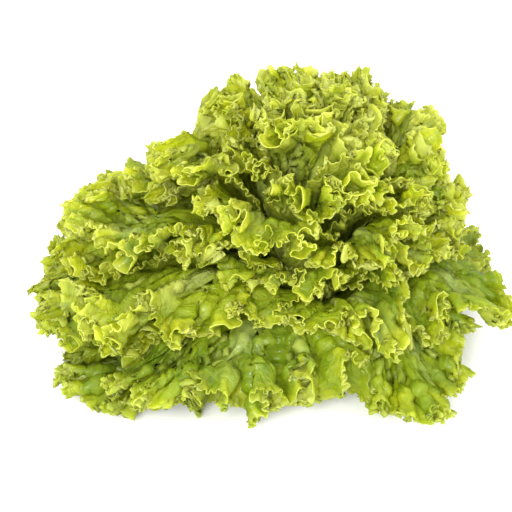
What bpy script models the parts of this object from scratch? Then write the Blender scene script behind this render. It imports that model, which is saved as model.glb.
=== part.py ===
"""A head of batavia lettuce, cut and stood on its stem.

The leaves grow in a spiral from a short stem and fan out from one point on its axis. Every leaf keeps to
its own layer, from the upright heart leaves (layer 0) to the low outer ones (layer 1), and each edge ruffles
into the room that its neighbours leave. Lengths are in metres, angles are in degrees where they are named
here, +Z is up, and the origin is the middle of the cut face under the stem.
"""

import math

import bpy
import numpy as np

# The head
LEAF_COUNT = 46
GOLDEN_ANGLE = 137.508
FIRST_AZIMUTH = 150
SEED = 16
CENTRE_HEIGHT = 0.033
FLOOR_CLEARANCE = 0.0006
DOME_RADIUS = 0.122
DOME_RISE = 0.146
SKIRT_LEFT = 0.195
SKIRT_RIGHT = 0.142
SKIRT_FRONT = 0.147
BOXINESS = 2.8
SKIRT_ANGLES = (2, 28)
LEFT_AZIMUTH = 185
LEFT_FLOP = 14
LEFT_SKIRT_RISE = 20
LEAN = (-0.04, 0.12)

# The leaves, where two numbers are for the heart and the outermost leaf
BLADE_THICKNESS = 0.0008
RIB_THICKNESS = 0.0016
LEAF_CLEARANCE = 0.0014
LAYER_POWER = 0.9
SCATTER = 4.5
GROWTH_RANGE = (0.84, 1.06)
ROOT_HALF_ANGLE = 34
HALF_ANGLES = (78, 52)
WIDENING_LENGTH = 0.055
SIDE_POWER = 2.6
NOTCH_DEPTH = 0.035

# The ruffles
LARGEST_RUFFLE = 0.0145
RUFFLE_LENGTH = 0.033
EDGE_TO_LENGTH = 2.1
RUFFLE_FADE = 2.2
RUFFLE_DROP = 0.12

# How the layers rise from the stem, spread and come down again
ROOT_LIFTS = (84, -32)
MIDDLE_LIFTS = (86, 9)
TIP_LIFTS = (82, -9)
MIDDLE_RADIUS = 0.075
TIP_RADIUS = 0.165

# The stem
CUT_RADIUS = 0.0165
CUT_EDGE = 0.001
STEM_RADIUS = 0.022
STEM_RISE = 0.046
STEM_GAP = 0.001


def smooth(low, high, value):
    """0 at low, 1 at high, and a smooth step between them."""
    t = np.clip((value - low) / (high - low), 0, 1)
    return t * t * (3 - 2 * t)


def between(ends, share):
    return ends[0] + (ends[1] - ends[0]) * share


def leftness(azimuth):
    """1 towards the side where the head has fallen open, 0 away from it."""
    return np.clip(np.cos(azimuth - math.radians(LEFT_AZIMUTH)), 0, 1) ** 1.5


def straight_lift(radius, root, middle):
    """The angle at a radius, on a straight line from the stem (root) to the middle radius (middle)."""
    root = np.radians(root)
    middle = np.radians(middle)
    across = MIDDLE_RADIUS * np.cos(middle) - STEM_RADIUS * np.cos(root)
    rise = MIDDLE_RADIUS * np.sin(middle) - STEM_RADIUS * np.sin(root)
    square = across**2 + rise**2
    half = STEM_RADIUS * (across * np.cos(root) + rise * np.sin(root))
    excess = np.maximum(radius**2 - STEM_RADIUS**2, 0)
    share = (np.sqrt(half**2 + square * excess) - half) / square
    level = STEM_RADIUS * np.cos(root) + share * across
    return np.degrees(np.arctan2(STEM_RADIUS * np.sin(root) + share * rise, level))


def lift(radius, layer, azimuth):
    """A layer's angle above the horizontal, seen from the centre. It falls all the way from layer 0 to 1."""
    spread = smooth(STEM_RADIUS, MIDDLE_RADIUS, radius)
    droop = smooth(MIDDLE_RADIUS, TIP_RADIUS, radius)
    middle = between(MIDDLE_LIFTS, layer)
    angle = straight_lift(np.minimum(radius, MIDDLE_RADIUS), between(ROOT_LIFTS, layer), middle)
    angle = angle + (between(TIP_LIFTS, layer) - middle) * droop
    sway = 3.5 * np.sin(3 * azimuth + 3.1)
    sway = sway + 2.5 * np.sin(5 * azimuth + 18 * radius - 2.7)
    flop = LEFT_FLOP * leftness(azimuth) * smooth(0.35, 0.65, layer) * (1 - layer * droop)
    return np.radians(angle + spread * (sway * layer - flop))


def rounded(angle, first, second):
    """Distance from the middle of a rounded box to its side, at an angle from its first half width."""
    first_share = (np.abs(np.cos(angle)) / first) ** BOXINESS
    second_share = (np.abs(np.sin(angle)) / second) ** BOXINESS
    return (first_share + second_share) ** (-1 / BOXINESS)


def envelope(angle, azimuth):
    """How far the head reaches from its centre: a dome above and a wider skirt of fallen leaves below."""
    dome = rounded(angle, DOME_RADIUS, DOME_RISE)
    side = np.where(np.cos(azimuth) < 0, SKIRT_LEFT, SKIRT_RIGHT)
    skirt = rounded(azimuth, side, SKIRT_FRONT)
    rise = LEFT_SKIRT_RISE * leftness(azimuth)
    dome_share = smooth(SKIRT_ANGLES[0] + rise, SKIRT_ANGLES[1] + rise, np.degrees(angle))
    return between((skirt, dome), dome_share)


def stem_reach(angle):
    """Distance from the centre to the stem's surface at an angle above the horizontal."""
    above = 1 / np.hypot(np.cos(angle) / STEM_RADIUS, np.sin(angle) / STEM_RISE)
    taper = (STEM_RADIUS - CUT_RADIUS) / CENTRE_HEIGHT
    below = STEM_RADIUS / (np.cos(angle) + taper * np.abs(np.sin(angle)))
    return np.where(angle > 0, above, below)


class Leaf:
    """One leaf: where it grows, how long and wide it is, and how its edge waves."""

    def __init__(self, index, random):
        self.layer = (index / (LEAF_COUNT - 1)) ** LAYER_POWER
        turn = FIRST_AZIMUTH + index * GOLDEN_ANGLE + random.uniform(-SCATTER, SCATTER)
        self.azimuth = math.radians(turn)
        self.growth = random.uniform(*GROWTH_RANGE)
        self.half_spread = math.radians(between(HALF_ANGLES, self.layer))
        self.waves = round(EDGE_TO_LENGTH * self.length(0) / RUFFLE_LENGTH)
        self.phases = random.uniform(0, 2 * math.pi, 4)
        self.start = STEM_RADIUS
        for _ in range(6):
            root_angle = lift(self.start, self.layer, self.azimuth)
            self.start = float(stem_reach(root_angle)) + STEM_GAP

    def half_angle(self, radius):
        """How far round the head the leaf would reach at u = 1."""
        widening = smooth(self.start, self.start + WIDENING_LENGTH, radius)
        return between((math.radians(ROOT_HALF_ANGLE), self.half_spread), widening)

    def length(self, u):
        """How far from the centre the leaf would reach in this direction if it were cut square."""
        azimuth = self.azimuth + u * self.half_spread
        return self.growth * envelope(lift(DOME_RADIUS, self.layer, azimuth), azimuth)

    def edge_radius(self, u):
        """Distance of the edge from the centre, from one side (u = -1) over the tip to the other (1)."""
        outline = 1 - np.abs(u) ** SIDE_POWER
        notches = 1 + NOTCH_DEPTH * np.cos(2 * self.wave_angle(u)) * smooth(0, 0.3, outline)
        return self.start + (self.length(u) - self.start) * outline * notches

    def wave_angle(self, u):
        drift = 0.9 * np.sin(2.2 * u + self.phases[0]) + 0.5 * np.sin(5.1 * u + self.phases[1])
        return math.pi * self.waves * u + self.phases[2] + drift

    def wave(self, u):
        """The ruffle's height along the edge, between -1 and 1."""
        strength = 0.82 + 0.18 * np.sin(3.7 * u + self.phases[3])
        return strength * np.sin(self.wave_angle(u)) - RUFFLE_DROP

    def covers(self, radius, azimuth):
        """1 where the leaf covers the place, seen from the centre, falling to 0 just outside its outline."""
        turn = (azimuth - self.azimuth + math.pi) % (2 * math.pi) - math.pi
        u = turn / self.half_angle(radius)
        share = (radius - self.start) / (self.edge_radius(np.clip(u, -0.999, 0.999)) - self.start)
        return (1 - smooth(1.02, 1.22, np.abs(u))) * (1 - smooth(1.05, 1.3, share))


def rooms(leaf, leaves, radius, azimuth):
    """How far a leaf may move up and down at these places, sharing the space with its neighbours."""
    angle = lift(radius, leaf.layer, azimuth)
    up = np.minimum(radius * np.cos(angle) * 0.3, LARGEST_RUFFLE)
    down = np.full_like(radius, LARGEST_RUFFLE)
    for other in leaves:
        if other is leaf:
            continue
        apart = radius * (lift(radius, other.layer, azimuth) - angle)
        open_share = 1 - other.covers(radius, azimuth)
        free = np.abs(apart) / 2 - LEAF_CLEARANCE + 2 * LARGEST_RUFFLE * open_share**2
        if other.layer < leaf.layer:
            up = np.minimum(up, free)
        else:
            down = np.minimum(down, free - BLADE_THICKNESS)
    return np.maximum(up, 0), np.maximum(down, 0)


def place(radius, azimuth, angle):
    """The point at a distance, azimuth and angle from the centre. Above the stem the head leans."""
    level = radius * np.cos(angle)
    rise = radius * np.sin(angle)
    over_stem = np.maximum(rise - STEM_RISE, 0)
    x = level * np.cos(azimuth) + LEAN[0] * over_stem
    y = level * np.sin(azimuth) + LEAN[1] * over_stem
    return np.stack([x, y, CENTRE_HEIGHT + rise], axis=-1)


def leaf_points(leaf, leaves, u, v):
    """Points of the leaf's upper face: v runs out from the middle of its foot to the place u on its edge."""
    edge = leaf.edge_radius(u)
    radius = leaf.start + (edge - leaf.start) * v
    azimuth = leaf.azimuth + u * leaf.half_angle(edge) * v
    angle = lift(radius, leaf.layer, azimuth)
    up, down = rooms(leaf, leaves, radius, azimuth)
    wave = leaf.wave(u) * v**RUFFLE_FADE * smooth(STEM_RADIUS, MIDDLE_RADIUS, radius)
    shift = np.where(wave > 0, wave * up, wave * down)
    floor = BLADE_THICKNESS + FLOOR_CLEARANCE - CENTRE_HEIGHT - radius * np.sin(angle)
    shift = np.maximum(shift, floor / np.maximum(np.cos(angle), 0.3))
    return place(radius, azimuth, angle + shift / radius)


def across(steps):
    """Places from side to side of a leaf, closer together near the sides, where the edge is steep."""
    even = np.linspace(-1, 1, steps + 1)
    return between((even, np.sin(even * math.pi / 2)), 0.6)


def stitch(inner, outer):
    """Triangles between two rows of points, given as ranges of indices, the outer row the longer."""
    faces = []
    i = 0
    for j in range(len(outer) - 1):
        faces.append((inner[i], outer[j], outer[j + 1]))
        while i < len(inner) - 1 and (i + 0.5) / (len(inner) - 1) <= (j + 1) / (len(outer) - 1):
            faces.append((inner[i], outer[j + 1], inner[i + 1]))
            i += 1
    return faces


def leaf_rows(leaf):
    """The rows of points that make a leaf, as (share of the way out, number of steps across)."""
    edge = 4 * leaf.waves
    return [(0, 0), (0.2, 6), (0.4, 10), (0.62, 14), (0.82, edge // 2), (1, edge)]


def new_object(name, mesh, material):
    mesh.materials.append(material)
    made = bpy.data.objects.new(name, mesh)
    bpy.data.collections["batavia_lettuce"].objects.link(made)
    return made


def make_leaf(name, leaf, leaves, material):
    points = []
    rows = []
    rib = []
    for v, steps in leaf_rows(leaf):
        u = across(steps)
        rows.append(range(len(points), len(points) + len(u)))
        points.extend(leaf_points(leaf, leaves, u, np.full_like(u, v)))
        rib.extend((1 - v) ** 1.6 * np.exp(-((u * v / 0.12) ** 2)))
    faces = [face for inner, outer in zip(rows, rows[1:]) for face in stitch(inner, outer)]
    mesh = bpy.data.meshes.new(name)
    mesh.from_pydata([tuple(p) for p in points], [], faces)
    mesh.shade_smooth()
    made = new_object(name, mesh, material)
    group = made.vertex_groups.new(name="rib")
    for index, weight in enumerate(rib):
        group.add([index], float(weight), "REPLACE")
    shell = made.modifiers.new("thickness", "SOLIDIFY")
    shell.thickness = BLADE_THICKNESS + RIB_THICKNESS
    shell.vertex_group = "rib"
    shell.thickness_vertex_group = BLADE_THICKNESS / shell.thickness
    shell.offset = -1
    return made


def make_stem(material):
    """The core: a turned profile from its top down its outer side to the cut face."""
    angles = np.linspace(math.pi / 2, 0, 9)
    profile = [(0, CENTRE_HEIGHT + STEM_RISE)]
    profile += [
        (float(stem_reach(a) * math.cos(a)), CENTRE_HEIGHT + float(stem_reach(a) * math.sin(a)))
        for a in angles[1:]
    ]
    profile += [(CUT_RADIUS + CUT_EDGE, CUT_EDGE), (CUT_RADIUS, 0), (0, 0)]
    mesh = bpy.data.meshes.new("stem")
    edges = [(i, i + 1) for i in range(len(profile) - 1)]
    mesh.from_pydata([(x, 0, z) for x, z in profile], edges, [])
    made = new_object("stem", mesh, material)
    turn = made.modifiers.new("turn", "SCREW")
    turn.steps = turn.render_steps = 24
    turn.use_merge_vertices = True
    turn.merge_threshold = 0.00001
    turn.use_smooth_shade = True
    return made


def make_material(name, colour, roughness):
    made = bpy.data.materials.new(name)
    made.use_nodes = True
    shader = made.node_tree.nodes["Principled BSDF"]
    shader.inputs["Base Color"].default_value = (*colour, 1)
    shader.inputs["Roughness"].default_value = roughness
    shader.inputs["Metallic"].default_value = 0
    return made


def main():
    for old in list(bpy.data.objects):
        bpy.data.objects.remove(old)
    collection = bpy.data.collections.new("batavia_lettuce")
    bpy.context.scene.collection.children.link(collection)
    random = np.random.default_rng(SEED)
    leaves = [Leaf(index, random) for index in range(LEAF_COUNT)]
    leaf_green = make_material("leaf_green", (0.36, 0.52, 0.05), 0.5)
    stem_white = make_material("stem_white", (0.72, 0.76, 0.50), 0.55)
    make_stem(stem_white)
    for index, leaf in enumerate(leaves):
        make_leaf(f"leaf_{index + 1:02d}", leaf, leaves, leaf_green)


main()
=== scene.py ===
"""The head of batavia lettuce, dressed: every leaf again with its fine ruffles, teeth, blisters and veins.

The first half lays out the leaves as the model does, with the same values. The second half builds each leaf
finely around that layout, and gives it its material, light, floor and camera.
"""

import math

import bpy
import numpy as np
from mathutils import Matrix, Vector


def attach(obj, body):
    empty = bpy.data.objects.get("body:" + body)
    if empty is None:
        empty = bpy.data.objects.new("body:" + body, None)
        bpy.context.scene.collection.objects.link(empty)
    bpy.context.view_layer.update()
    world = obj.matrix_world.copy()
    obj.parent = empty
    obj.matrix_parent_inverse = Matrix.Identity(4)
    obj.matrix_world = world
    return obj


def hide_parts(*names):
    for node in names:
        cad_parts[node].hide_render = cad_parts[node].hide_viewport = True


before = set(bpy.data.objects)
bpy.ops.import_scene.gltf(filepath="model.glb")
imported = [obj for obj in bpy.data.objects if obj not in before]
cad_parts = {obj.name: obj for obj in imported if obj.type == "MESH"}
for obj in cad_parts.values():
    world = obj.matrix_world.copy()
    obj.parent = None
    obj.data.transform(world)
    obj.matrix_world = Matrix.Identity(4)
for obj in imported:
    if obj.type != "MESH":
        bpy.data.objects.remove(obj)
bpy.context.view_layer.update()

# The head
LEAF_COUNT = 46
GOLDEN_ANGLE = 137.508
FIRST_AZIMUTH = 150
SEED = 16
CENTRE_HEIGHT = 0.033
FLOOR_CLEARANCE = 0.0006
DOME_RADIUS = 0.122
DOME_RISE = 0.146
SKIRT_LEFT = 0.195
SKIRT_RIGHT = 0.142
SKIRT_FRONT = 0.147
BOXINESS = 2.8
SKIRT_ANGLES = (2, 28)
LEFT_AZIMUTH = 185
LEFT_FLOP = 14
LEFT_SKIRT_RISE = 20
LEAN = (-0.04, 0.12)

# The leaves, where two numbers are for the heart and the outermost leaf
BLADE_THICKNESS = 0.0008
LEAF_CLEARANCE = 0.0014
LAYER_POWER = 0.9
SCATTER = 4.5
GROWTH_RANGE = (0.84, 1.06)
ROOT_HALF_ANGLE = 34
HALF_ANGLES = (78, 52)
WIDENING_LENGTH = 0.055
SIDE_POWER = 2.6
NOTCH_DEPTH = 0.035

# The large ruffles
LARGEST_RUFFLE = 0.0145
RUFFLE_LENGTH = 0.033
EDGE_TO_LENGTH = 2.1
RUFFLE_DROP = 0.12

# How the layers rise from the stem, spread and come down again
ROOT_LIFTS = (84, -32)
MIDDLE_LIFTS = (86, 9)
TIP_LIFTS = (82, -9)
MIDDLE_RADIUS = 0.075
TIP_RADIUS = 0.165

# The stem
CUT_RADIUS = 0.0165
STEM_RADIUS = 0.022
STEM_RISE = 0.046
STEM_GAP = 0.001

# The fine leaves: thickness, and how far apart their points are at the edge and further in
SHEET = 0.00038
RIB = 0.0018
RIB_FADE = 1.6
RIB_SPREAD = 0.12
FOOT_SINK = 0.004
PROBE_STEP = 0.0008
EDGE_STEP = 0.00093
STEP_GROWTH = 0.31
STEP_LIMITS = (0.0062, 0.0046)
STRETCH_LIMIT = 2.8
HIDDEN_SHARE = 0.3
HIDDEN_RADII = (0.05, 0.08)
ROW_STEP = 0.0008
ROW_GROWTH = 0.19
ROW_LIMIT = 0.003
ROW_WIDENING = 2
ROW_REACH = 0.97
WIDE_DEPTHS = (0.040, 0.075)
LEAST_STEPS = 6
DENSE_COUNT = 3201

# Their shape. The large ruffles, and the margin that rolls up or down
LARGE_SHARE = 0.7
LARGE_FADE = 3.2
CURL_LENGTH = 0.085
CURL_WIDTH = 0.020
CURL_TURN = 1.2
CURL_MEAN = -0.25
CURL_ROOM = 0.006
CURL_LEAST = 0.25

# The folds. FOLD_VARIATION is the wavelengths of their pace, strength and slant, and FOLD_STRENGTH is the
# mean, swing and limits of their strength
FOLD_LENGTH = 0.0165
FOLD_SHARES = (0.62, 0.78)
FOLD_HEIGHT = 0.008
FOLD_LEAST = 0.001
FOLD_LEAN = 0.42
FOLD_DEPTHS = (0.016, 0.017)
FOLD_FADE = 1.4
FOLD_PACE = 2.6
FOLD_SLANT = 110
FOLD_VARIATION = (0.060, 0.045, 0.070)
FOLD_STRENGTH = (0.8, 0.5, 0.3, 1.2)

# The lobes of the margin. LOBE_NOTCH is the mean, swing and limits of the notches between them
LOBE_LENGTH = 0.034
LOBE_DEPTHS = (0.009, 0.020)
LOBE_NOTCH = (0.45, 0.6, 0, 1)
LOBE_MEAN = 0.3
LOBE_RADII = (0.04, 0.08)

# The frill. FRILL_VARIATION is the wavelengths of its pace, bunches and slant, and FRILL_BUNCH is the mean,
# swing and limits of the bunches
FREE_RADII = (0.03, 0.06)
FRILL_LENGTH = 0.0064
FRILL_HEIGHTS = (0.0017, 0.0028)
FRILL_DEPTH = 0.0068
FRILL_FADE = 1.2
FRILL_LEAN = 0.42
FRILL_PACE = 2.2
FRILL_SLANT = 160
FRILL_VARIATION = (0.017, 0.028, 0.050)
FRILL_BUNCH = (0.8, 0.8, 0.15, 1.5)
FRILL_ROOM = 0.004
FRILL_LEAST = 0.4

# The teeth
TOOTH_LENGTH = 0.0041
TOOTH_HEIGHT = 0.0018
TOOTH_DEPTH = 0.0020
TOOTH_PACE = 1.1
TOOTH_MEAN = 0.65
TOOTH_POINT = 0.7
TOOTH_BUNCH = 0.6

# Hills and valleys, and blisters. SHARES are parts of the room that a leaf has
SWELL_LEAST = 0.0004
HILL_COUNT = 5
HILL_LENGTHS = (0.026, 0.046)
HILL_HEIGHT = 0.0045
HILL_SHARE = 0.35
HILL_GAIN = 0.8
HILL_DEPTHS = (0.003, 0.016)
BLISTER_COUNT = 7
BLISTER_LENGTHS = (0.013, 0.026)
BLISTER_HEIGHTS = (0.0007, 0.0023)
BLISTER_SHARE = 0.3
BLISTER_GAIN = 0.55
BLISTER_DEPTHS = (0.002, 0.010)

# How the whole head is crumpled. Each dent is a place and how far it moves what lies there
DRIFT_COUNT = 10
DRIFT_LENGTHS = (0.055, 0.140)
DRIFT_SLOPE = 0.22
DRIFT_SEED = 41
DENT_REACH = 0.040
DENTS = (
    ((-0.073, 0.032, 0.168), (0.016, 0.000, -0.018)),
    ((-0.122, 0.050, 0.108), (0.010, 0.000, -0.022)),
    ((0.132, 0.010, 0.095), (-0.008, 0.000, 0.000)),
    ((0.134, -0.030, 0.055), (-0.004, -0.006, -0.020)),
    ((0.136, 0.055, 0.028), (-0.010, 0.000, 0.000)),
    ((-0.190, -0.020, 0.024), (-0.012, 0.000, 0.000)),
    ((-0.038, -0.155, 0.010), (0.000, 0.012, 0.000)),
    ((0.070, -0.130, 0.010), (0.004, -0.016, 0.000)),
    ((0.010, 0.135, 0.045), (0.000, 0.000, -0.022)),
    ((-0.040, 0.130, 0.045), (0.000, 0.000, -0.014)),
    ((0.110, 0.020, 0.040), (0.000, 0.000, -0.010)),
)

# The leaves' colours, in sRGB from 0 to 255
BLADE_GREENS = ((84, 128, 30), (150, 174, 24))
BLADE_TINT = (186, 188, 20)
MARGIN_YELLOWS = ((178, 188, 22), (206, 207, 44))
VEIN_PALE = (200, 204, 84)
GRAIN_PALE = (206, 211, 74)
# The pale rim: partly the edge's own paler colour, partly a painted highlight where the thin edge lights up
PALE_RIM_AND_HIGHLIGHT = (234, 238, 156)
RIB_PALE = (222, 228, 178)
OUTER_GREEN = (90, 126, 26)
# Painted light: a lighter green for the parts deep inside the head, standing in for light bounced into the
# shaded recesses
PAINTED_RECESS_LIGHT = (170, 188, 56)
UNDERSIDE_PALE = (200, 208, 110)
GLOW_YELLOW = (240, 244, 104)

# How much of each colour is mixed in
TINT_SHARE = 0.3
MARGIN_SHARE = 0.88
VEIN_SHARE = 0.32
SMALL_VEIN_SHARE = 0.55
GRAIN_SHARE = 0.3
PALE_RIM_AND_HIGHLIGHT_SHARES = (0.12, 0.55)
RIB_SHARE = 0.8
OUTER_SHARE = 0.4
# How much of the painted recess light is mixed in
PAINTED_RECESS_LIGHT_SHARE = 0.45
UNDERSIDE_SHARES = (0.2, 0.6)
GLOW_SHARE = 0.7

# Their pattern: scales of the noises and of the veins' cells, and widths from the edge
CLOUD_SCALE = 22.0
PATCH_SCALE = 55.0
FINE_SCALE = 190.0
GRAIN_SCALE = 430.0
VEIN_SCALES = (70.0, 210.0)
VEIN_WIDTH = 0.16
VEIN_WOBBLE = 0.35
VEIN_WOBBLE_SCALE = 1.3
MARGIN_DEPTHS = (0.001, 0.0095)
MARGIN_WANDER = 0.045
RIM_WIDTH = 0.0018
RIB_WIDTH = 0.006
RIB_PALING = 0.7

# Their finish
LEAF_ROUGHNESS = (0.20, 0.38)
LEAF_IOR = 1.42
LEAF_SPECULAR = 0.6
LEAF_BUMP = (0.8, 0.0010)
GRAIN_HEIGHT = 0.7
VEIN_HEIGHT = 0.6
LIGHT_THROUGH = 0.62

# The stem's colours and finish, and the ring on its cut face
STEM_WHITES = ((214, 220, 172), (232, 234, 204))
STEM_RING = (170, 176, 110)
STEM_BROWN = (176, 132, 84)
RING_SHARE = 0.5
BROWN_SHARES = (0.1, 0.65)
STEM_CLOUD_SCALE = 120.0
STEM_ROUGHNESS = (0.38, 0.55)
STEM_BUMP = (0.4, 0.0006)
RING_RADIUS = 0.0115
RING_WIDTH = 0.0016
CUT_DEPTH = 0.0006

# The stage: each light's place, width and power, then the light from all round, and the photograph's view
FLOOR_HALF_WIDTH = 4
FLOOR_SHADE = 0.92
FLOOR_ROUGHNESS = 0.9
LIGHTS = {
    "key": ((-0.25, -1.00, 0.62), 0.45, 14),
    "fill": ((0.75, -0.65, 0.45), 0.8, 4),
}
WORLD_LIGHT = 1.8
IMAGE_WIDTH = 512
PIXEL = 0.000716
LENS = 85
SENSOR = 36
TARGET = (-0.039, 0, 0.053)
ELEVATION = 30


def smooth(low, high, value):
    """0 at low, 1 at high, and a smooth step between them."""
    t = np.clip((value - low) / (high - low), 0, 1)
    return t * t * (3 - 2 * t)


def between(ends, share):
    return ends[0] + (ends[1] - ends[0]) * share


def varied(line, mean, swing, least, most):
    """A random line drawn around a mean, and kept between two limits."""
    return np.clip(mean + swing * line, least, most)


def leftness(azimuth):
    """1 towards the side where the head has fallen open, 0 away from it."""
    return np.clip(np.cos(azimuth - math.radians(LEFT_AZIMUTH)), 0, 1) ** 1.5


def straight_lift(radius, root, middle):
    """The angle at a radius, on a straight line from the stem (root) to the middle radius (middle)."""
    root = np.radians(root)
    middle = np.radians(middle)
    across = MIDDLE_RADIUS * np.cos(middle) - STEM_RADIUS * np.cos(root)
    rise = MIDDLE_RADIUS * np.sin(middle) - STEM_RADIUS * np.sin(root)
    square = across**2 + rise**2
    half = STEM_RADIUS * (across * np.cos(root) + rise * np.sin(root))
    excess = np.maximum(radius**2 - STEM_RADIUS**2, 0)
    share = (np.sqrt(half**2 + square * excess) - half) / square
    level = STEM_RADIUS * np.cos(root) + share * across
    return np.degrees(np.arctan2(STEM_RADIUS * np.sin(root) + share * rise, level))


def lift(radius, layer, azimuth):
    """A layer's angle above the horizontal, seen from the centre. It falls all the way from layer 0 to 1."""
    spread = smooth(STEM_RADIUS, MIDDLE_RADIUS, radius)
    droop = smooth(MIDDLE_RADIUS, TIP_RADIUS, radius)
    middle = between(MIDDLE_LIFTS, layer)
    angle = straight_lift(np.minimum(radius, MIDDLE_RADIUS), between(ROOT_LIFTS, layer), middle)
    angle = angle + (between(TIP_LIFTS, layer) - middle) * droop
    sway = 3.5 * np.sin(3 * azimuth + 3.1)
    sway = sway + 2.5 * np.sin(5 * azimuth + 18 * radius - 2.7)
    flop = LEFT_FLOP * leftness(azimuth) * smooth(0.35, 0.65, layer) * (1 - layer * droop)
    return np.radians(angle + spread * (sway * layer - flop))


def rounded(angle, first, second):
    """Distance from the middle of a rounded box to its side, at an angle from its first half width."""
    first_share = (np.abs(np.cos(angle)) / first) ** BOXINESS
    second_share = (np.abs(np.sin(angle)) / second) ** BOXINESS
    return (first_share + second_share) ** (-1 / BOXINESS)


def envelope(angle, azimuth):
    """How far the head reaches from its centre: a dome above and a wider skirt of fallen leaves below."""
    dome = rounded(angle, DOME_RADIUS, DOME_RISE)
    side = np.where(np.cos(azimuth) < 0, SKIRT_LEFT, SKIRT_RIGHT)
    skirt = rounded(azimuth, side, SKIRT_FRONT)
    rise = LEFT_SKIRT_RISE * leftness(azimuth)
    dome_share = smooth(SKIRT_ANGLES[0] + rise, SKIRT_ANGLES[1] + rise, np.degrees(angle))
    return between((skirt, dome), dome_share)


def stem_reach(angle):
    """Distance from the centre to the stem's surface at an angle above the horizontal."""
    above = 1 / np.hypot(np.cos(angle) / STEM_RADIUS, np.sin(angle) / STEM_RISE)
    taper = (STEM_RADIUS - CUT_RADIUS) / CENTRE_HEIGHT
    below = STEM_RADIUS / (np.cos(angle) + taper * np.abs(np.sin(angle)))
    return np.where(angle > 0, above, below)


class Leaf:
    """One leaf: where it grows, how long and wide it is, and how its edge waves."""

    def __init__(self, index, random):
        self.layer = (index / (LEAF_COUNT - 1)) ** LAYER_POWER
        turn = FIRST_AZIMUTH + index * GOLDEN_ANGLE + random.uniform(-SCATTER, SCATTER)
        self.azimuth = math.radians(turn)
        self.growth = random.uniform(*GROWTH_RANGE)
        self.half_spread = math.radians(between(HALF_ANGLES, self.layer))
        self.waves = round(EDGE_TO_LENGTH * self.length(0) / RUFFLE_LENGTH)
        self.phases = random.uniform(0, 2 * math.pi, 4)
        self.start = STEM_RADIUS
        for _ in range(6):
            root_angle = lift(self.start, self.layer, self.azimuth)
            self.start = float(stem_reach(root_angle)) + STEM_GAP

    def half_angle(self, radius):
        """How far round the head the leaf would reach at u = 1."""
        widening = smooth(self.start, self.start + WIDENING_LENGTH, radius)
        return between((math.radians(ROOT_HALF_ANGLE), self.half_spread), widening)

    def length(self, u):
        """How far from the centre the leaf would reach in this direction if it were cut square."""
        azimuth = self.azimuth + u * self.half_spread
        return self.growth * envelope(lift(DOME_RADIUS, self.layer, azimuth), azimuth)

    def edge_radius(self, u):
        """Distance of the edge from the centre, from one side (u = -1) over the tip to the other (1)."""
        outline = 1 - np.abs(u) ** SIDE_POWER
        notches = 1 + NOTCH_DEPTH * np.cos(2 * self.wave_angle(u)) * smooth(0, 0.3, outline)
        return self.start + (self.length(u) - self.start) * outline * notches

    def wave_angle(self, u):
        drift = 0.9 * np.sin(2.2 * u + self.phases[0]) + 0.5 * np.sin(5.1 * u + self.phases[1])
        return math.pi * self.waves * u + self.phases[2] + drift

    def wave(self, u):
        """The ruffle's height along the edge, between -1 and 1."""
        strength = 0.82 + 0.18 * np.sin(3.7 * u + self.phases[3])
        return strength * np.sin(self.wave_angle(u)) - RUFFLE_DROP

    def covers(self, radius, azimuth):
        """1 where the leaf covers the place, seen from the centre, falling to 0 just outside its outline."""
        turn = (azimuth - self.azimuth + math.pi) % (2 * math.pi) - math.pi
        u = turn / self.half_angle(radius)
        share = (radius - self.start) / (self.edge_radius(np.clip(u, -0.999, 0.999)) - self.start)
        return (1 - smooth(1.02, 1.22, np.abs(u))) * (1 - smooth(1.05, 1.3, share))


def rooms(leaf, leaves, radius, azimuth):
    """How far a leaf may move up and down at these places, sharing the space with its neighbours."""
    angle = lift(radius, leaf.layer, azimuth)
    up = np.minimum(radius * np.cos(angle) * 0.3, LARGEST_RUFFLE)
    down = np.full_like(radius, LARGEST_RUFFLE)
    for other in leaves:
        if other is leaf:
            continue
        apart = radius * (lift(radius, other.layer, azimuth) - angle)
        open_share = 1 - other.covers(radius, azimuth)
        free = np.abs(apart) / 2 - LEAF_CLEARANCE + 2 * LARGEST_RUFFLE * open_share**2
        if other.layer < leaf.layer:
            up = np.minimum(up, free)
        else:
            down = np.minimum(down, free - BLADE_THICKNESS)
    return np.maximum(up, 0), np.maximum(down, 0)


def place(radius, azimuth, angle):
    """The point at a distance, azimuth and angle from the centre. Above the stem the head leans."""
    level = radius * np.cos(angle)
    rise = radius * np.sin(angle)
    over_stem = np.maximum(rise - STEM_RISE, 0)
    x = level * np.cos(azimuth) + LEAN[0] * over_stem
    y = level * np.sin(azimuth) + LEAN[1] * over_stem
    return np.stack([x, y, CENTRE_HEIGHT + rise], axis=-1)


def stitch(inner, outer):
    """Triangles between two rows of points, given as ranges of indices, the outer row the longer."""
    faces = []
    i = 0
    for j in range(len(outer) - 1):
        faces.append((inner[i], outer[j], outer[j + 1]))
        while i < len(inner) - 1 and (i + 0.5) / (len(inner) - 1) <= (j + 1) / (len(outer) - 1):
            faces.append((inner[i], outer[j + 1], inner[i + 1]))
            i += 1
    return faces


class Hum:
    """A smooth random line: a sum of sines with wavelengths near the given one, between about -1 and 1."""

    WAVES = np.array([0.61, 1.0, 1.47, 2.3])
    SIZES = np.array([0.2, 0.4, 0.35, 0.3])

    def __init__(self, random, wavelength):
        self.waves = wavelength * self.WAVES
        self.phases = random.uniform(0, 2 * math.pi, len(self.WAVES))

    def __call__(self, along):
        angles = 2 * math.pi * np.asarray(along)[..., None] / self.waves + self.phases
        return (np.sin(angles) * self.SIZES).sum(-1)


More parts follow.
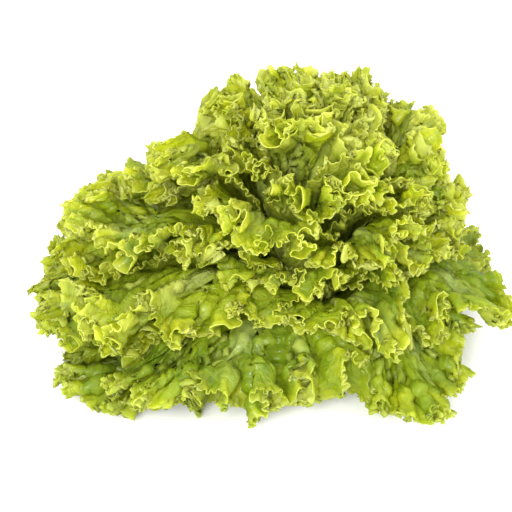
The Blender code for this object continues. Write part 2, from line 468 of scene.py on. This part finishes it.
class Drift:
    """A smooth random push, the same for all leaves, so that it crumples the head and keeps them apart."""

    def __init__(self, random):
        self.waves = []
        for _ in range(DRIFT_COUNT):
            way = random.normal(size=3)
            way /= np.linalg.norm(way)
            push = np.cross(way, random.normal(size=3))
            push /= np.linalg.norm(push)
            beat = 2 * math.pi / random.uniform(*DRIFT_LENGTHS)
            self.waves.append((way * beat, push * DRIFT_SLOPE / beat, random.uniform(0, 2 * math.pi)))

    def __call__(self, points):
        total = np.zeros_like(points)
        for wave, push, phase in self.waves:
            total += np.sin(points @ wave + phase)[:, None] * push
        for centre, push in DENTS:
            near = np.exp(-((np.linalg.norm(points - centre, axis=1) / DENT_REACH) ** 2))
            total += near[:, None] * push
        away = np.linalg.norm(points - (0, 0, CENTRE_HEIGHT), axis=1)
        total *= smooth(STEM_RADIUS, MIDDLE_RADIUS, away)[:, None]
        total[:, 2] *= smooth(0, 0.05, points[:, 2])
        return total


def normals_of(points, faces):
    """Unit normals of a triangle mesh at its points."""
    a, b, c = points[faces[:, 0]], points[faces[:, 1]], points[faces[:, 2]]
    flat = np.cross(b - a, c - a)
    total = np.zeros_like(points)
    for corner in range(3):
        for axis in range(3):
            total[:, axis] += np.bincount(faces[:, corner], flat[:, axis], len(points))
    return total / np.maximum(np.linalg.norm(total, axis=1), 1e-12)[:, None]


def runs_of(points, rows):
    """Unit directions along each row of points."""
    out = np.zeros_like(points)
    for row in rows:
        if len(row) > 1:
            out[row.start : row.stop] = np.gradient(points[row.start : row.stop], axis=0)
    return out / np.maximum(np.linalg.norm(out, axis=1), 1e-12)[:, None]


def row_depths(longest):
    """Depths of the rows below the edge, close together at the edge and wide apart near the foot."""
    depths = []
    depth = 0
    while depth < longest * ROW_REACH:
        depths.append(depth)
        widest = ROW_LIMIT * (1 + ROW_WIDENING * smooth(*WIDE_DEPTHS, depth))
        depth += min(ROW_STEP + ROW_GROWTH * depth, widest)
    return depths


def lobed_edge(leaf, u):
    """The radius of the leaf's edge, with the notches between the lobes of its margin."""
    edge = leaf.edge_radius(u)
    along = u * leaf.half_angle(edge) * edge
    notch = varied(leaf.lobes(along), *LOBE_NOTCH) ** 2
    return edge - between(LOBE_DEPTHS, leaf.layer) * (notch - LOBE_MEAN) * smooth(*LOBE_RADII, edge)


class Sheet:
    """A leaf as rows of points from its foot to its edge, which is bent and ruffled step by step."""

    def __init__(self, leaf, leaves, edge_step, length_of=None):
        dense = np.linspace(-1, 1, DENSE_COUNT)
        edge = lobed_edge(leaf, dense)
        azimuth = leaf.azimuth + dense * leaf.half_angle(edge)
        rim = place(edge, azimuth, lift(edge, leaf.layer, azimuth))
        foot_radius = leaf.start - FOOT_SINK
        foot = place(foot_radius, leaf.azimuth, lift(leaf.start, leaf.layer, leaf.azimuth))
        along = np.concatenate([[0], np.cumsum(np.linalg.norm(np.diff(rim, axis=0), axis=1))])
        tangent = np.gradient(rim, axis=0)
        tangent /= np.linalg.norm(tangent, axis=1)[:, None]
        reach = np.linalg.norm(np.cross(rim - foot, tangent), axis=1)
        longest = np.linalg.norm(rim - foot, axis=1).max()
        length = along if length_of is None else length_of(dense)
        seen = between((HIDDEN_SHARE, 1), smooth(*HIDDEN_RADII, edge))
        spaced = np.concatenate([[0], np.cumsum(np.diff(length) * seen[1:])])

        us, vs, self.rows = [[0]], [[0]], [range(0, 1)]
        for depth in reversed(row_depths(longest)):
            v = 1 - depth / longest
            gap = min(edge_step + STEP_GROWTH * depth, between(STEP_LIMITS, leaf.layer))
            gap = gap * (1 + smooth(*WIDE_DEPTHS, depth))
            steps = max(LEAST_STEPS, round(spaced[-1] * v / gap))
            us.append(np.interp(np.linspace(0, spaced[-1], steps + 1), spaced, dense))
            vs.append(np.full(steps + 1, v))
            first = self.rows[-1].stop
            self.rows.append(range(first, first + steps + 1))
        self.u, self.v = np.concatenate(us), np.concatenate(vs)
        pairs = zip(self.rows, self.rows[1:])
        self.faces = np.array([face for inner, outer in pairs for face in stitch(inner, outer)])

        edge = lobed_edge(leaf, self.u)
        self.s = np.interp(self.u, dense, along)
        self.d = (1 - self.v) * np.interp(self.u, dense, reach)
        self.radius = foot_radius + (edge - foot_radius) * self.v
        self.azimuth = leaf.azimuth + self.u * leaf.half_angle(edge) * self.v
        self.angle = lift(self.radius, leaf.layer, self.azimuth)
        self.up, self.down = rooms(leaf, leaves, self.radius, self.azimuth)
        self.free = smooth(STEM_RADIUS, MIDDLE_RADIUS, self.radius)
        self.room = 0.5 * (self.up + self.down)
        self.across = (self.azimuth - leaf.azimuth) * self.radius
        wave = leaf.wave(self.u) * self.v**LARGE_FADE * self.free
        shift = np.where(wave > 0, wave * self.up, wave * self.down) * LARGE_SHARE
        floor = BLADE_THICKNESS + FLOOR_CLEARANCE - CENTRE_HEIGHT - self.radius * np.sin(self.angle)
        shift = np.maximum(shift, floor / np.maximum(np.cos(self.angle), 0.3))
        self.points = place(self.radius, self.azimuth, self.angle + shift / self.radius)

    def edge_length(self):
        """The length along the ruffled edge so far, as a function of u."""
        edge = self.rows[-1]
        steps = np.linalg.norm(np.diff(self.points[edge.start :], axis=0), axis=1)
        steps = np.minimum(steps, STRETCH_LIMIT * np.diff(self.s[edge.start :]))
        length = np.concatenate([[0], np.cumsum(steps)])
        return lambda u: np.interp(u, self.u[edge.start :], length)

    def push(self, outwards, sideways, upwards):
        """Moves the points in the sheet's own directions at each of them."""
        normal = normals_of(self.points, self.faces)
        run = runs_of(self.points, self.rows)
        moves = zip((outwards, sideways, upwards), (np.cross(run, normal), run, normal))
        for size, way in moves:
            self.points = self.points + way * np.broadcast_to(size, len(way))[:, None]

    def curl(self, turn, width):
        """Rolls the margin up (turn above 0) or down, as a strip of this width bent to an arc."""
        inside = np.maximum(width - self.d, 0)
        bend = np.where(np.abs(turn) < 0.01, 0.01, turn) / width
        self.push(np.sin(bend * inside) / bend - inside, 0, (1 - np.cos(bend * inside)) / bend)

    def ripple(self, angle, size, lean):
        """Ruffles of this height, whose crests lean over to both sides like the letter omega."""
        self.push(0, -lean * size * np.sin(2 * angle), size * np.sin(angle))


def fold(sheet, layer, drift, random):
    """Rolls the margin up or down here and there, folds it between the large ruffles, and adds the drift."""
    s, d, free = sheet.s, sheet.d, sheet.free
    edge = slice(sheet.rows[-1].start, None)
    margin = np.interp(s, s[edge], np.minimum(sheet.up, sheet.down)[edge])
    roll = Hum(random, CURL_LENGTH)
    width = min(CURL_WIDTH, 0.5 * sheet.radius.max())
    room = np.clip(margin / CURL_ROOM + CURL_LEAST, 0, 1)
    sheet.curl((CURL_TURN * roll(s) + CURL_MEAN) * room * free, width)

    pace, strength, slant = (Hum(random, length) for length in FOLD_VARIATION)
    turns = 2 * math.pi * s / FOLD_LENGTH + FOLD_PACE * pace(s) + FOLD_SLANT * d * slant(s)
    part = between(FOLD_SHARES, layer)
    rise = np.clip(part * sheet.up, FOLD_LEAST, FOLD_HEIGHT)
    drop = np.clip(part * sheet.down, FOLD_LEAST, FOLD_HEIGHT)
    share = 0.5 + 0.5 * np.sin(turns)
    inwards = np.exp(-((d / between(FOLD_DEPTHS, layer)) ** FOLD_FADE))
    fade = varied(strength(s), *FOLD_STRENGTH) * inwards * free
    sideways = -FOLD_LEAN * 0.5 * (rise + drop) * np.sin(2 * turns)
    sheet.push(0, sideways * fade, (share * rise - (1 - share) * drop) * fade)
    sheet.points = sheet.points + drift(sheet.points)


def swell(sheet, random, count, lengths):
    """Waves over the whole leaf, in all directions."""
    total = np.zeros(len(sheet.d))
    for _ in range(count):
        heading = random.uniform(0, math.pi)
        beat = 2 * math.pi / random.uniform(*lengths)
        ray = sheet.across * math.cos(heading) + sheet.radius * math.sin(heading)
        total += np.sin(beat * ray + random.uniform(0, 2 * math.pi))
    return total


def fine_leaf(leaf, leaves, drift, seed):
    """One fine leaf as an open sheet, with the values that its material reads and its thickness."""
    leaf.lobes = Hum(np.random.default_rng(seed + LEAF_COUNT), LOBE_LENGTH)
    probe = Sheet(leaf, leaves, PROBE_STEP)
    fold(probe, leaf.layer, drift, np.random.default_rng(seed))
    random = np.random.default_rng(seed)
    length_of = probe.edge_length()
    sheet = Sheet(leaf, leaves, EDGE_STEP, length_of)
    fold(sheet, leaf.layer, drift, random)
    s, d, free = length_of(sheet.u), sheet.d, smooth(*FREE_RADII, sheet.radius)

    # The frill at the edge, in bunches
    quick, bunch, wander = (Hum(random, length) for length in FRILL_VARIATION)
    turns = 2 * math.pi * s / FRILL_LENGTH + FRILL_PACE * quick(s) + FRILL_SLANT * d * wander(s)
    room = np.clip(sheet.room / FRILL_ROOM, FRILL_LEAST, 1)
    size = between(FRILL_HEIGHTS, leaf.layer) * varied(bunch(s), *FRILL_BUNCH) * room
    size = size * np.exp(-((d / FRILL_DEPTH) ** FRILL_FADE)) * free
    sheet.ripple(turns, size, FRILL_LEAN)

    # Pointed teeth
    beat = math.pi * s / TOOTH_LENGTH + TOOTH_PACE * quick(s)
    tooth = TOOTH_MEAN - np.abs(np.sin(beat)) ** TOOTH_POINT
    height = TOOTH_HEIGHT * (1 + TOOTH_BUNCH * bunch(s))
    sheet.push(height * tooth * np.exp(-d / TOOTH_DEPTH) * free, 0, 0)

    # Hills and valleys all over the blade, and blisters between the veins
    size = np.clip(HILL_SHARE * sheet.room, SWELL_LEAST, HILL_HEIGHT) * smooth(*HILL_DEPTHS, d) * free
    sheet.push(0, 0, size * np.tanh(HILL_GAIN * swell(sheet, random, HILL_COUNT, HILL_LENGTHS)))
    swelling = np.abs(swell(sheet, random, BLISTER_COUNT, BLISTER_LENGTHS))
    size = np.clip(BLISTER_SHARE * sheet.room, SWELL_LEAST, between(BLISTER_HEIGHTS, leaf.layer))
    size = size * smooth(*BLISTER_DEPTHS, d) * free
    sheet.push(0, 0, size * (2 * np.tanh(swelling * BLISTER_GAIN) - 1))

    sheet.points[:, 2] = np.maximum(sheet.points[:, 2], SHEET + FLOOR_CLEARANCE)
    count = len(d)
    values = {
        "edge_depth": d,
        "vein_across": sheet.across,
        "vein_along": sheet.radius,
        "rib": np.exp(-((sheet.across / RIB_WIDTH) ** 2)) * (1 - sheet.v) ** RIB_PALING,
        "layer": np.full(count, leaf.layer),
        "tint": np.full(count, random.uniform(0, 1)),
        "out": sheet.radius / envelope(sheet.angle, sheet.azimuth),
    }
    rib = RIB * (1 - sheet.v) ** RIB_FADE * np.exp(-((sheet.u * sheet.v / RIB_SPREAD) ** 2))
    return sheet, values, SHEET + rib


def close_sheet(points, faces, rows, thickness):
    """A closed solid from an open sheet: the sheet, its underside, and the rim between them."""
    below = points - normals_of(points, faces) * thickness[:, None]
    count = len(points)
    rim = [rows[0][0]]
    left = [row[0] for row in rows[1:]]
    right = [row[-1] for row in rows[1:]]
    loop = rim + left + list(rows[-1])[1:-1] + right[::-1]
    sides = []
    for a, b in zip(loop, loop[1:] + loop[:1]):
        sides.append((a, a + count, b + count))
        sides.append((a, b + count, b))
    faces = np.concatenate([faces, faces[:, ::-1] + count, np.array(sides)])
    return np.concatenate([points, below]), faces


def new_mesh(name, points, faces):
    """A smooth-shaded triangle mesh."""
    mesh = bpy.data.meshes.new(name)
    mesh.vertices.add(len(points))
    mesh.vertices.foreach_set("co", points.astype(np.float32).ravel())
    mesh.loops.add(len(faces) * 3)
    mesh.loops.foreach_set("vertex_index", faces.astype(np.int32).ravel())
    mesh.polygons.add(len(faces))
    mesh.polygons.foreach_set("loop_start", np.arange(0, len(faces) * 3, 3, dtype=np.int32))
    mesh.update(calc_edges=True)
    mesh.validate()
    mesh.shade_smooth()
    return mesh


def make_leaf(name, leaf, leaves, drift, seed, material):
    """Puts a fine leaf in place of the CAD leaf of this name, and returns how many triangles it has."""
    sheet, values, thickness = fine_leaf(leaf, leaves, drift, seed)
    solid, solid_faces = close_sheet(sheet.points, sheet.faces, sheet.rows, thickness)
    mesh = new_mesh(name + "_fine", solid, solid_faces)
    mesh.materials.append(material)
    for key, value in values.items():
        layer = mesh.attributes.new(key, "FLOAT", "POINT")
        layer.data.foreach_set("value", np.concatenate([value, value]).astype(np.float32))
    under = mesh.attributes.new("under", "FLOAT", "POINT")
    under.data.foreach_set("value", np.repeat([0.0, 1.0], len(sheet.points)).astype(np.float32))
    made = bpy.data.objects.new(name + "_fine", mesh)
    bpy.context.scene.collection.objects.link(made)
    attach(made, "root")
    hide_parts(name)
    return len(solid_faces)


class Net:
    """A material's node tree, with short ways to add and join its nodes."""

    def __init__(self, name):
        self.material = bpy.data.materials.new(name)
        self.material.use_nodes = True
        self.tree = self.material.node_tree
        self.tree.nodes.clear()

    def node(self, kind, **settings):
        made = self.tree.nodes.new("ShaderNode" + kind)
        for key, value in settings.items():
            setattr(made, key, value)
        return made

    def join(self, source, target):
        self.tree.links.new(source, target)

    def put(self, target, value):
        if isinstance(value, bpy.types.NodeSocket):
            self.join(value, target)
        else:
            target.default_value = value

    def value(self, name):
        return self.node("Attribute", attribute_name=name).outputs["Fac"]

    def maths(self, operation, first, second=0.0):
        made = self.node("Math", operation=operation)
        self.put(made.inputs[0], first)
        self.put(made.inputs[1], second)
        return made.outputs[0]

    def times(self, first, second):
        return self.maths("MULTIPLY", first, second)

    def ramp(self, value, low, high, start=0.0, end=1.0):
        """The value's place between low and high, smoothly, as a number from start to end."""
        made = self.node("MapRange", interpolation_type="SMOOTHSTEP")
        for socket, item in zip(made.inputs, (value, low, high, start, end)):
            self.put(socket, item)
        return made.outputs[0]

    def mix(self, share, first, second):
        made = self.node("Mix", data_type="RGBA")
        self.put(made.inputs[0], share)
        self.put(made.inputs[6], first)
        self.put(made.inputs[7], second)
        return made.outputs[2]

    def noise(self, vector, scale, detail=2.0, roughness=0.5):
        made = self.node("TexNoise")
        self.join(vector, made.inputs["Vector"])
        made.inputs["Scale"].default_value = scale
        made.inputs["Detail"].default_value = detail
        made.inputs["Roughness"].default_value = roughness
        return made.outputs["Fac"]

    def bump(self, height, strength, distance):
        made = self.node("Bump")
        made.inputs["Strength"].default_value = strength
        made.inputs["Distance"].default_value = distance
        self.join(height, made.inputs["Height"])
        return made.outputs[0]

    def veins(self, flat, scale):
        """The borders of wobbly cells: 1 on a border and 0 inside a cell."""
        wobble = self.node("TexNoise")
        self.join(flat, wobble.inputs["Vector"])
        wobble.inputs["Scale"].default_value = scale * VEIN_WOBBLE_SCALE
        spread = self.node("VectorMath", operation="SCALE")
        self.join(wobble.outputs["Color"], spread.inputs[0])
        spread.inputs["Scale"].default_value = VEIN_WOBBLE / scale
        warp = self.node("VectorMath", operation="ADD")
        self.join(flat, warp.inputs[0])
        self.join(spread.outputs[0], warp.inputs[1])
        cells = self.node("TexVoronoi", feature="DISTANCE_TO_EDGE")
        self.join(warp.outputs[0], cells.inputs["Vector"])
        cells.inputs["Scale"].default_value = scale
        return self.ramp(cells.outputs["Distance"], 0.0, VEIN_WIDTH, 1.0, 0.0)


def colour(shade):
    """A colour given in sRGB, from 0 to 255, as the shader's linear one."""
    def linear(value):
        value = value / 255
        return value / 12.92 if value <= 0.04045 else ((value + 0.055) / 1.055) ** 2.4
    return (*map(linear, shade), 1)


def leaf_material():
    net = Net("leaf_green")
    depth, layer, out, rib, tint, under = map(
        net.value, ("edge_depth", "layer", "out", "rib", "tint", "under")
    )
    combine = net.node("CombineXYZ")
    net.join(net.value("vein_across"), combine.inputs[0])
    net.join(net.value("vein_along"), combine.inputs[1])
    net.join(net.times(layer, 3.0), combine.inputs[2])
    flat = combine.outputs[0]
    spot = net.node("TexCoord").outputs["Object"]

    # Fine veins, small ones inside larger ones
    large, small = (net.veins(flat, scale) for scale in VEIN_SCALES)
    vein = net.maths("MAXIMUM", large, net.times(small, SMALL_VEIN_SHARE))

    cloud = net.noise(spot, CLOUD_SCALE, 3.0)
    fine = net.noise(spot, FINE_SCALE, 3.0)
    patch = net.noise(spot, PATCH_SCALE)
    grain = net.noise(spot, GRAIN_SCALE)

    # The blade, and a yellower margin whose border wanders
    inner = net.mix(net.ramp(cloud, 0.36, 0.64), *map(colour, BLADE_GREENS))
    inner = net.mix(net.times(tint, TINT_SHARE), inner, colour(BLADE_TINT))
    margin = net.mix(net.ramp(fine, 0.35, 0.65), *map(colour, MARGIN_YELLOWS))
    wander = net.times(net.maths("SUBTRACT", 0.5, patch), MARGIN_WANDER)
    zone = net.ramp(net.maths("ADD", depth, wander), *MARGIN_DEPTHS, MARGIN_SHARE, 0.0)
    base = net.mix(zone, inner, margin)

    # Veins, grain, the pale rim, partly the edge's own paler colour and partly a painted highlight where the
    # thin edge lights up, and the rib
    base = net.mix(net.times(vein, VEIN_SHARE), base, colour(VEIN_PALE))
    base = net.mix(net.ramp(grain, 0.50, 0.66, 0.0, GRAIN_SHARE), base, colour(GRAIN_PALE))
    # The rim is partly the edge's own paler colour and partly a painted highlight
    rim = net.ramp(depth, 0.0, RIM_WIDTH, 1.0, 0.0)
    rim = net.times(rim, net.ramp(patch, 0.42, 0.58, *PALE_RIM_AND_HIGHLIGHT_SHARES))
    base = net.mix(rim, base, colour(PALE_RIM_AND_HIGHLIGHT))
    base = net.mix(net.times(rib, RIB_SHARE), base, colour(RIB_PALE))

    # Darker outer leaves, painted light that lightens the parts deep inside the head to stand in for light
    # bounced into the shaded recesses, and paler undersides
    base = net.mix(net.ramp(layer, 0.66, 1.0, 0.0, OUTER_SHARE), base, colour(OUTER_GREEN))
    base = net.mix(net.ramp(out, 0.40, 0.75, PAINTED_RECESS_LIGHT_SHARE, 0.0), base, colour(PAINTED_RECESS_LIGHT))
    below = net.times(under, net.ramp(patch, 0.45, 0.60, *UNDERSIDE_SHARES))
    base = net.mix(below, base, colour(UNDERSIDE_PALE))

    height = net.maths("SUBTRACT", net.times(fine, GRAIN_HEIGHT), net.times(vein, VEIN_HEIGHT))
    bump = net.bump(height, *LEAF_BUMP)
    shader = net.node("BsdfPrincipled")
    net.join(base, shader.inputs["Base Color"])
    net.join(net.ramp(fine, 0.3, 0.7, *LEAF_ROUGHNESS), shader.inputs["Roughness"])
    shader.inputs["IOR"].default_value = LEAF_IOR
    shader.inputs["Specular IOR Level"].default_value = LEAF_SPECULAR
    net.join(bump, shader.inputs["Normal"])
    glow = net.node("BsdfTranslucent")
    net.join(net.mix(GLOW_SHARE, base, colour(GLOW_YELLOW)), glow.inputs["Color"])
    net.join(bump, glow.inputs["Normal"])
    both = net.node("MixShader")
    both.inputs[0].default_value = LIGHT_THROUGH
    net.join(shader.outputs[0], both.inputs[1])
    net.join(glow.outputs[0], both.inputs[2])
    net.join(both.outputs[0], net.node("OutputMaterial").inputs["Surface"])
    return net.material


def stem_material():
    net = Net("stem_white")
    spot = net.node("TexCoord").outputs["Object"]
    split = net.node("SeparateXYZ")
    net.join(spot, split.inputs[0])
    x, y, z = split.outputs
    across = net.maths("SQRT", net.maths("ADD", net.times(x, x), net.times(y, y)))
    cloud = net.noise(spot, STEM_CLOUD_SCALE, 4.0)
    base = net.mix(net.ramp(cloud, 0.35, 0.65), *map(colour, STEM_WHITES))

    # The cut face, with a ring in it and browned in places
    from_ring = net.maths("ABSOLUTE", net.maths("SUBTRACT", across, RING_RADIUS))
    ring = net.ramp(from_ring, 0.0, RING_WIDTH, 1.0, 0.0)
    cut = net.ramp(z, CUT_DEPTH, 0.0, 0.0, 1.0)
    base = net.mix(net.times(net.times(ring, cut), RING_SHARE), base, colour(STEM_RING))
    brown = net.times(cut, net.ramp(cloud, 0.42, 0.7, *BROWN_SHARES))
    base = net.mix(brown, base, colour(STEM_BROWN))

    shader = net.node("BsdfPrincipled")
    net.join(base, shader.inputs["Base Color"])
    net.join(net.ramp(cloud, 0.3, 0.7, *STEM_ROUGHNESS), shader.inputs["Roughness"])
    net.join(net.bump(cloud, *STEM_BUMP), shader.inputs["Normal"])
    net.join(shader.outputs[0], net.node("OutputMaterial").inputs["Surface"])
    return net.material


def floor_material():
    net = Net("pale_floor")
    shader = net.node("BsdfPrincipled")
    shader.inputs["Base Color"].default_value = (FLOOR_SHADE, FLOOR_SHADE, FLOOR_SHADE, 1)
    shader.inputs["Roughness"].default_value = FLOOR_ROUGHNESS
    net.join(shader.outputs[0], net.node("OutputMaterial").inputs["Surface"])
    return net.material


def add_floor():
    signs = np.array([(-1, -1, 0), (1, -1, 0), (1, 1, 0), (-1, 1, 0)], float)
    corners = signs * FLOOR_HALF_WIDTH
    mesh = new_mesh("floor", corners, np.array([(0, 1, 2), (0, 2, 3)]))
    mesh.materials.append(floor_material())
    made = bpy.data.objects.new("floor", mesh)
    bpy.context.scene.collection.objects.link(made)


def add_light(name, spot, size, power):
    lamp = bpy.data.lights.new(name, "AREA")
    lamp.shape = "DISK"
    lamp.size = size
    lamp.energy = power
    made = bpy.data.objects.new(name, lamp)
    made.location = spot
    aim = Vector(TARGET) - Vector(spot)
    made.rotation_mode = "QUATERNION"
    made.rotation_quaternion = aim.to_track_quat("-Z", "Y")
    bpy.context.scene.collection.objects.link(made)


def add_camera():
    elevation = math.radians(ELEVATION)
    back = Vector((0, -math.cos(elevation), math.sin(elevation)))
    made = bpy.data.objects.new("camera", bpy.data.cameras.new("camera"))
    made.data.lens = LENS
    made.data.sensor_width = SENSOR
    made.location = Vector(TARGET) + back * (IMAGE_WIDTH * PIXEL * LENS / SENSOR)
    made.rotation_mode = "QUATERNION"
    made.rotation_quaternion = (-back).to_track_quat("-Z", "Y")
    bpy.context.scene.collection.objects.link(made)
    bpy.context.scene.camera = made


def main():
    random = np.random.default_rng(SEED)
    leaves = [Leaf(index, random) for index in range(LEAF_COUNT)]
    drift = Drift(np.random.default_rng(DRIFT_SEED))
    green = leaf_material()
    total = 0
    for index, leaf in enumerate(leaves):
        name = f"leaf_{index + 1:02d}"
        total += make_leaf(name, leaf, leaves, drift, SEED * 1000 + index, green)
    print("triangles in the fine leaves:", total)
    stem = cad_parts["stem"]
    stem.data.materials.clear()
    stem.data.materials.append(stem_material())

    add_floor()
    for name, (spot, size, power) in LIGHTS.items():
        add_light(name, spot, size, power)
    world = bpy.data.worlds.new("studio")
    world.use_nodes = True
    world.node_tree.nodes["Background"].inputs[0].default_value = (1, 1, 1, 1)
    world.node_tree.nodes["Background"].inputs[1].default_value = WORLD_LIGHT
    bpy.context.scene.world = world
    bpy.context.scene.view_settings.view_transform = "Standard"
    add_camera()


main()
